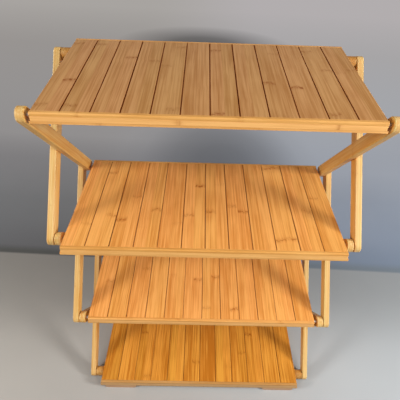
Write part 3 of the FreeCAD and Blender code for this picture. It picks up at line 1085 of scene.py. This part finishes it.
def spacer_round(middle_y, middle_z, sign):
    """A bored round beside the shelf's end, turned over for the left side."""
    place = ((spacer_near + spacer_far) / 2, middle_y, middle_z)
    bpy.ops.object.select_all(action="DESELECT")
    bpy.ops.mesh.primitive_cylinder_add(
        vertices=64, radius=spacer_radius, depth=spacer_far - spacer_near,
        location=place, rotation=(0, math.radians(90), 0))
    made = bpy.context.object
    bpy.ops.object.transform_apply(location=True, rotation=True, scale=True)
    ease(made, lambda co: near(co.x, spacer_near), spacer_rounding, 3)
    ease(made, lambda co: near(co.x, spacer_far), joint_ease, 1)
    start = (spacer_near - bore_overrun, middle_y, middle_z)
    end = (spacer_far + bore_overrun, middle_y, middle_z)
    bore(made, start, end, pin_bore)
    only(made)
    bpy.ops.object.shade_smooth_by_angle(angle=smooth_under)
    own = strip(chance.uniform(*spacer_tones))
    grade(made, place, (0, 1, 0), (0, 0, 1), [own])
    if sign < 0:
        made.data.transform(Matrix.Diagonal((-1, 1, 1, 1)))
        outward(made)
    return made


spacer_bamboo = bamboo("spacer_bamboo", leg_pale, spacer_brown, leg_figure)
spacer_places = {"lower": (-hinge_reach, first_pivot), "upper": (hinge_reach, highest_pivot)}
for stage, spacer_place in spacer_places.items():
    rounds = [spacer_round(*spacer_place, sign) for sign in (-1, 1)]
    spacers = joined("spacers_" + stage, rounds)
    surfaced(spacers, spacer_bamboo)
    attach(spacers, stage + "_outer_legs")
    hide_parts(stage + "_spacers")


# -------- Battens and feet
# Under each shelf a notched batten stands at both ends and one lies across the middle,
# and the lowest shelf has four feet. They are plainer bamboo, and keep their CAD shapes.

batten_pale = (0.740, 0.420, 0.165, 1)
batten_brown = (0.470, 0.215, 0.062, 1)
foot_pale = (0.620, 0.365, 0.180, 1)
foot_brown = (0.400, 0.200, 0.085, 1)
# Figure and first knuckle, strip width, line width and darkness, coat and its roughness
plain_figure = 0.8
plain_knuckle = 0.07
plain_pitch = 0.0062
plain_joint = (0.0002, 0.3)
plain_coat = (0.06, 0.3)
plain_relief = 0.4


def plain_bamboo(name, pale, brown, along, seed, tone):
    """Bamboo for a CAD node, its grain along X or Y of the rack."""
    made, tree, shader = new_material(name)
    place = put(tree, "ShaderNodeTexCoord").node.outputs["Object"]
    if along == "Y":
        turned = {"Vector": place, "Rotation": (0, 0, math.radians(90))}
        place = put(tree, "ShaderNodeMapping", named=turned)
    knot = ramped(tree, mottle(tree, place, 9.0, 0.0), 0.45, 0.60, 0.0, 0.7)
    wood = placed_group(
        tree, bamboo_strip, Grain=place, Seed=seed, Tone=tone, Knuckle=plain_knuckle, Knot=knot,
        Figure=plain_figure, Pale=pale, Brown=brown,
    )
    across = put(tree, "ShaderNodeSeparateXYZ", place).node.outputs[1]
    width, dark = plain_joint
    line = placed_group(tree, glue_line, Place=across, Pitch=plain_pitch, Width=width)["Line"]
    colour = mixed(tree, sums(tree, "MULTIPLY", line, dark), wood["Color"], brown)
    tree.links.new(colour, shader.inputs["Base Color"])
    tree.links.new(wood["Roughness"], shader.inputs["Roughness"])
    for socket, value in zip(("Coat Weight", "Coat Roughness"), plain_coat):
        shader.inputs[socket].default_value = value
    raise_surface(tree, shader, wood["Relief"], plain_relief, relief_height)
    return made


def finish_node(node, finish):
    """Gives a CAD node its material."""
    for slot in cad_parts[node].material_slots:
        slot.material = finish


end_batten = plain_bamboo("batten_bamboo_end", batten_pale, batten_brown, "Y", 0.31, 0.1)
middle_batten = plain_bamboo("batten_bamboo_middle", batten_pale, batten_brown, "X", 0.77, 0.25)
foot_bamboo = plain_bamboo("foot_bamboo", foot_pale, foot_brown, "X", 0.52, 0.1)
for tier in tiers:
    finish_node(tier + "_shelf_left_batten", end_batten)
    finish_node(tier + "_shelf_right_batten", end_batten)
    finish_node(tier + "_shelf_middle_batten", middle_batten)
finish_node("bottom_shelf_feet", foot_bamboo)


# -------- Bolts, pins and inserts
# Zinc-plated steel bolts with a hexagon socket in a low head, steel hook pins, and
# threaded brass inserts in the rail ends. The heads show fine turning marks.

zinc = (0.66, 0.65, 0.62, 1)
zinc_dull = (0.44, 0.43, 0.41, 1)
brass = (0.78, 0.56, 0.24, 1)
brass_dull = (0.52, 0.35, 0.14, 1)
zinc_roughness = 0.26
brass_roughness = 0.30
# How much rings and stains add to the dull colour and to the roughness
ring_shares = (0.25, 0.12)
stain_shares = (0.55, 0.20)
fine_relief_height = 0.0001


def turned_metal(name, bright, dull, roughness):
    """Metal with turning rings across the bolt's axis and dull stains."""
    made, tree, shader = new_material(name)
    place = put(tree, "ShaderNodeTexCoord").node.outputs["Object"]
    stretched = {"Vector": place, "Scale": (9.0, 1.0, 1.0)}
    rings = mottle(tree, put(tree, "ShaderNodeMapping", named=stretched), 900.0, 3.0)
    stains = ramped(tree, mottle(tree, place, 160.0, 4.0), 0.45, 0.70)
    share = sums(tree, "MULTIPLY", rings, ring_shares[0])
    share = sums(tree, "MULTIPLY_ADD", stains, stain_shares[0], share)
    tree.links.new(mixed(tree, share, bright, dull), shader.inputs["Base Color"])
    rough = sums(tree, "MULTIPLY_ADD", rings, ring_shares[1], roughness)
    rough = sums(tree, "MULTIPLY_ADD", stains, stain_shares[1], rough)
    tree.links.new(rough, shader.inputs["Roughness"])
    shader.inputs["Metallic"].default_value = 1.0
    raise_surface(tree, shader, rings, 0.25, fine_relief_height)
    return made


zinc_steel = turned_metal("zinc_steel", zinc, zinc_dull, zinc_roughness)
insert_brass = turned_metal("insert_brass", brass, brass_dull, brass_roughness)
for tier in tiers:
    finish_node(tier + "_shelf_hinge_bolts", zinc_steel)
    finish_node(tier + "_shelf_inserts", insert_brass)
for stage in stages:
    finish_node(stage + "_centre_bolts", zinc_steel)
for stage in ("lower", "upper"):
    finish_node(stage + "_hook_pins", zinc_steel)


# -------- Washers
# Thin rings of natural nylon keep the inner and outer legs a millimetre apart. They
# are milky, and yellowed and a little duller in patches.

nylon_white = (0.72, 0.68, 0.60, 1)
nylon_yellow = (0.60, 0.53, 0.40, 1)
nylon_roughness = 0.38

washer_nylon, tree, shader = new_material("washer_nylon")
place = put(tree, "ShaderNodeTexCoord").node.outputs["Object"]
aged = ramped(tree, mottle(tree, place, 120.0, 3.0), 0.35, 0.70)
tree.links.new(mixed(tree, aged, nylon_white, nylon_yellow), shader.inputs["Base Color"])
rough = sums(tree, "MULTIPLY_ADD", aged, 0.2, nylon_roughness)
tree.links.new(rough, shader.inputs["Roughness"])
raise_surface(tree, shader, mottle(tree, place, 1500.0), 0.2, fine_relief_height)
for stage in stages:
    finish_node(stage + "_centre_washers", washer_nylon)
for stage in ("lower", "upper"):
    finish_node(stage + "_hook_pin_washers", washer_nylon)
for tier in ("lower", "upper"):
    finish_node(tier + "_shelf_washers", washer_nylon)


# -------- Sizes
# The box of the CAD model and of the finished one.

sizes = {"cad": [list(corner) for corner in cad_box], "visual": [list(c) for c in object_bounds()]}
